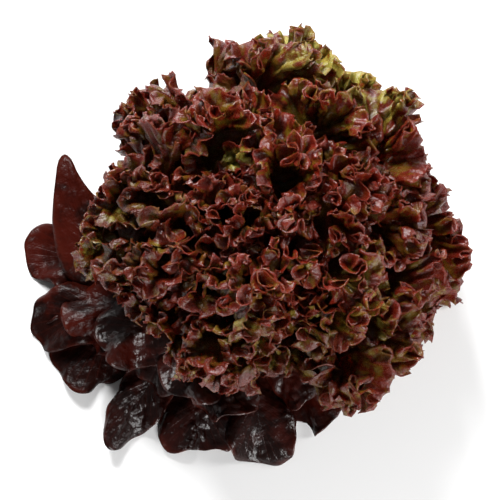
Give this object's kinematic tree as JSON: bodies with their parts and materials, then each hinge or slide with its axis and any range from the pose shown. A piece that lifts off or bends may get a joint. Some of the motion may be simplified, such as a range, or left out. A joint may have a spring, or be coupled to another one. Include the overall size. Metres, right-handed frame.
{
  "type": "red leaf lettuce",
  "caption": "Loose head of lettuce cut at the stem: tightly frilled red-brown leaves in nested rings, smooth near-black leaves spreading low from one side.",
  "frame": {"origin": "middle of the cut face under the main stem, on the surface the head stands on", "axes": "+Z up, away from the cut face; +Y is up in the picture; the smooth leaves spread towards -X and -Y"},
  "size_m": [0.2971, 0.2971, 0.1638],
  "materials": {
    "stem": null,
    "red_leaf": "thin waxy leaf, red-brown at the frill and green towards the base",
    "green_leaf": "thin waxy leaf, olive green with red-brown frill",
    "smooth_leaf": "smooth blistered leaf, near-black burgundy with a soft sheen"
  },
  "bodies": {
    "root": {"crown_leaf_1": "red_leaf", "crown_leaf_2": "red_leaf", "crown_leaf_3": "red_leaf", "crown_leaf_4": "red_leaf", "crown_leaf_5": "red_leaf", "cut_stem": "stem", "heart_leaf_1": "red_leaf", "heart_leaf_2": "red_leaf", "heart_leaf_3": "red_leaf", "inner_leaf_1": "red_leaf", "inner_leaf_2": "red_leaf", "inner_leaf_3": "red_leaf", "inner_leaf_4": "red_leaf", "lower_leaf_1": "green_leaf", "lower_leaf_2": "green_leaf", "lower_leaf_3": "green_leaf", "lower_leaf_4": "green_leaf", "lower_leaf_5": "green_leaf", "lower_leaf_6": "green_leaf", "lower_leaf_7": "green_leaf", "middle_leaf_1": "red_leaf", "middle_leaf_2": "red_leaf", "middle_leaf_3": "red_leaf", "middle_leaf_4": "red_leaf", "middle_leaf_5": "red_leaf", "middle_leaf_6": "red_leaf", "outer_leaf_1": "red_leaf", "outer_leaf_2": "red_leaf", "outer_leaf_3": "red_leaf", "outer_leaf_4": "red_leaf", "outer_leaf_5": "red_leaf", "outer_leaf_6": "red_leaf", "outer_leaf_7": "red_leaf", "shoulder_leaf_1": "red_leaf", "shoulder_leaf_2": "red_leaf", "shoulder_leaf_3": "red_leaf", "shoulder_leaf_4": "red_leaf", "shoulder_leaf_5": "red_leaf", "shoulder_leaf_6": "red_leaf", "skirt_leaf_1": "green_leaf", "skirt_leaf_2": "green_leaf", "skirt_leaf_3": "green_leaf", "skirt_leaf_4": "green_leaf", "smooth_low_leaf_1": "smooth_leaf", "smooth_low_leaf_2": "smooth_leaf", "smooth_low_leaf_3": "smooth_leaf", "smooth_low_leaf_4": "smooth_leaf", "smooth_mid_leaf_1": "smooth_leaf", "smooth_mid_leaf_2": "smooth_leaf", "smooth_mid_leaf_3": "smooth_leaf", "smooth_mid_leaf_4": "smooth_leaf", "smooth_second_leaf_1": "smooth_leaf", "smooth_second_leaf_2": "smooth_leaf", "smooth_second_leaf_3": "smooth_leaf", "smooth_side_leaf_1": "smooth_leaf", "smooth_side_leaf_2": "smooth_leaf", "smooth_top_leaf_1": "smooth_leaf", "smooth_top_leaf_2": "smooth_leaf"}
  },
  "joints": []
}
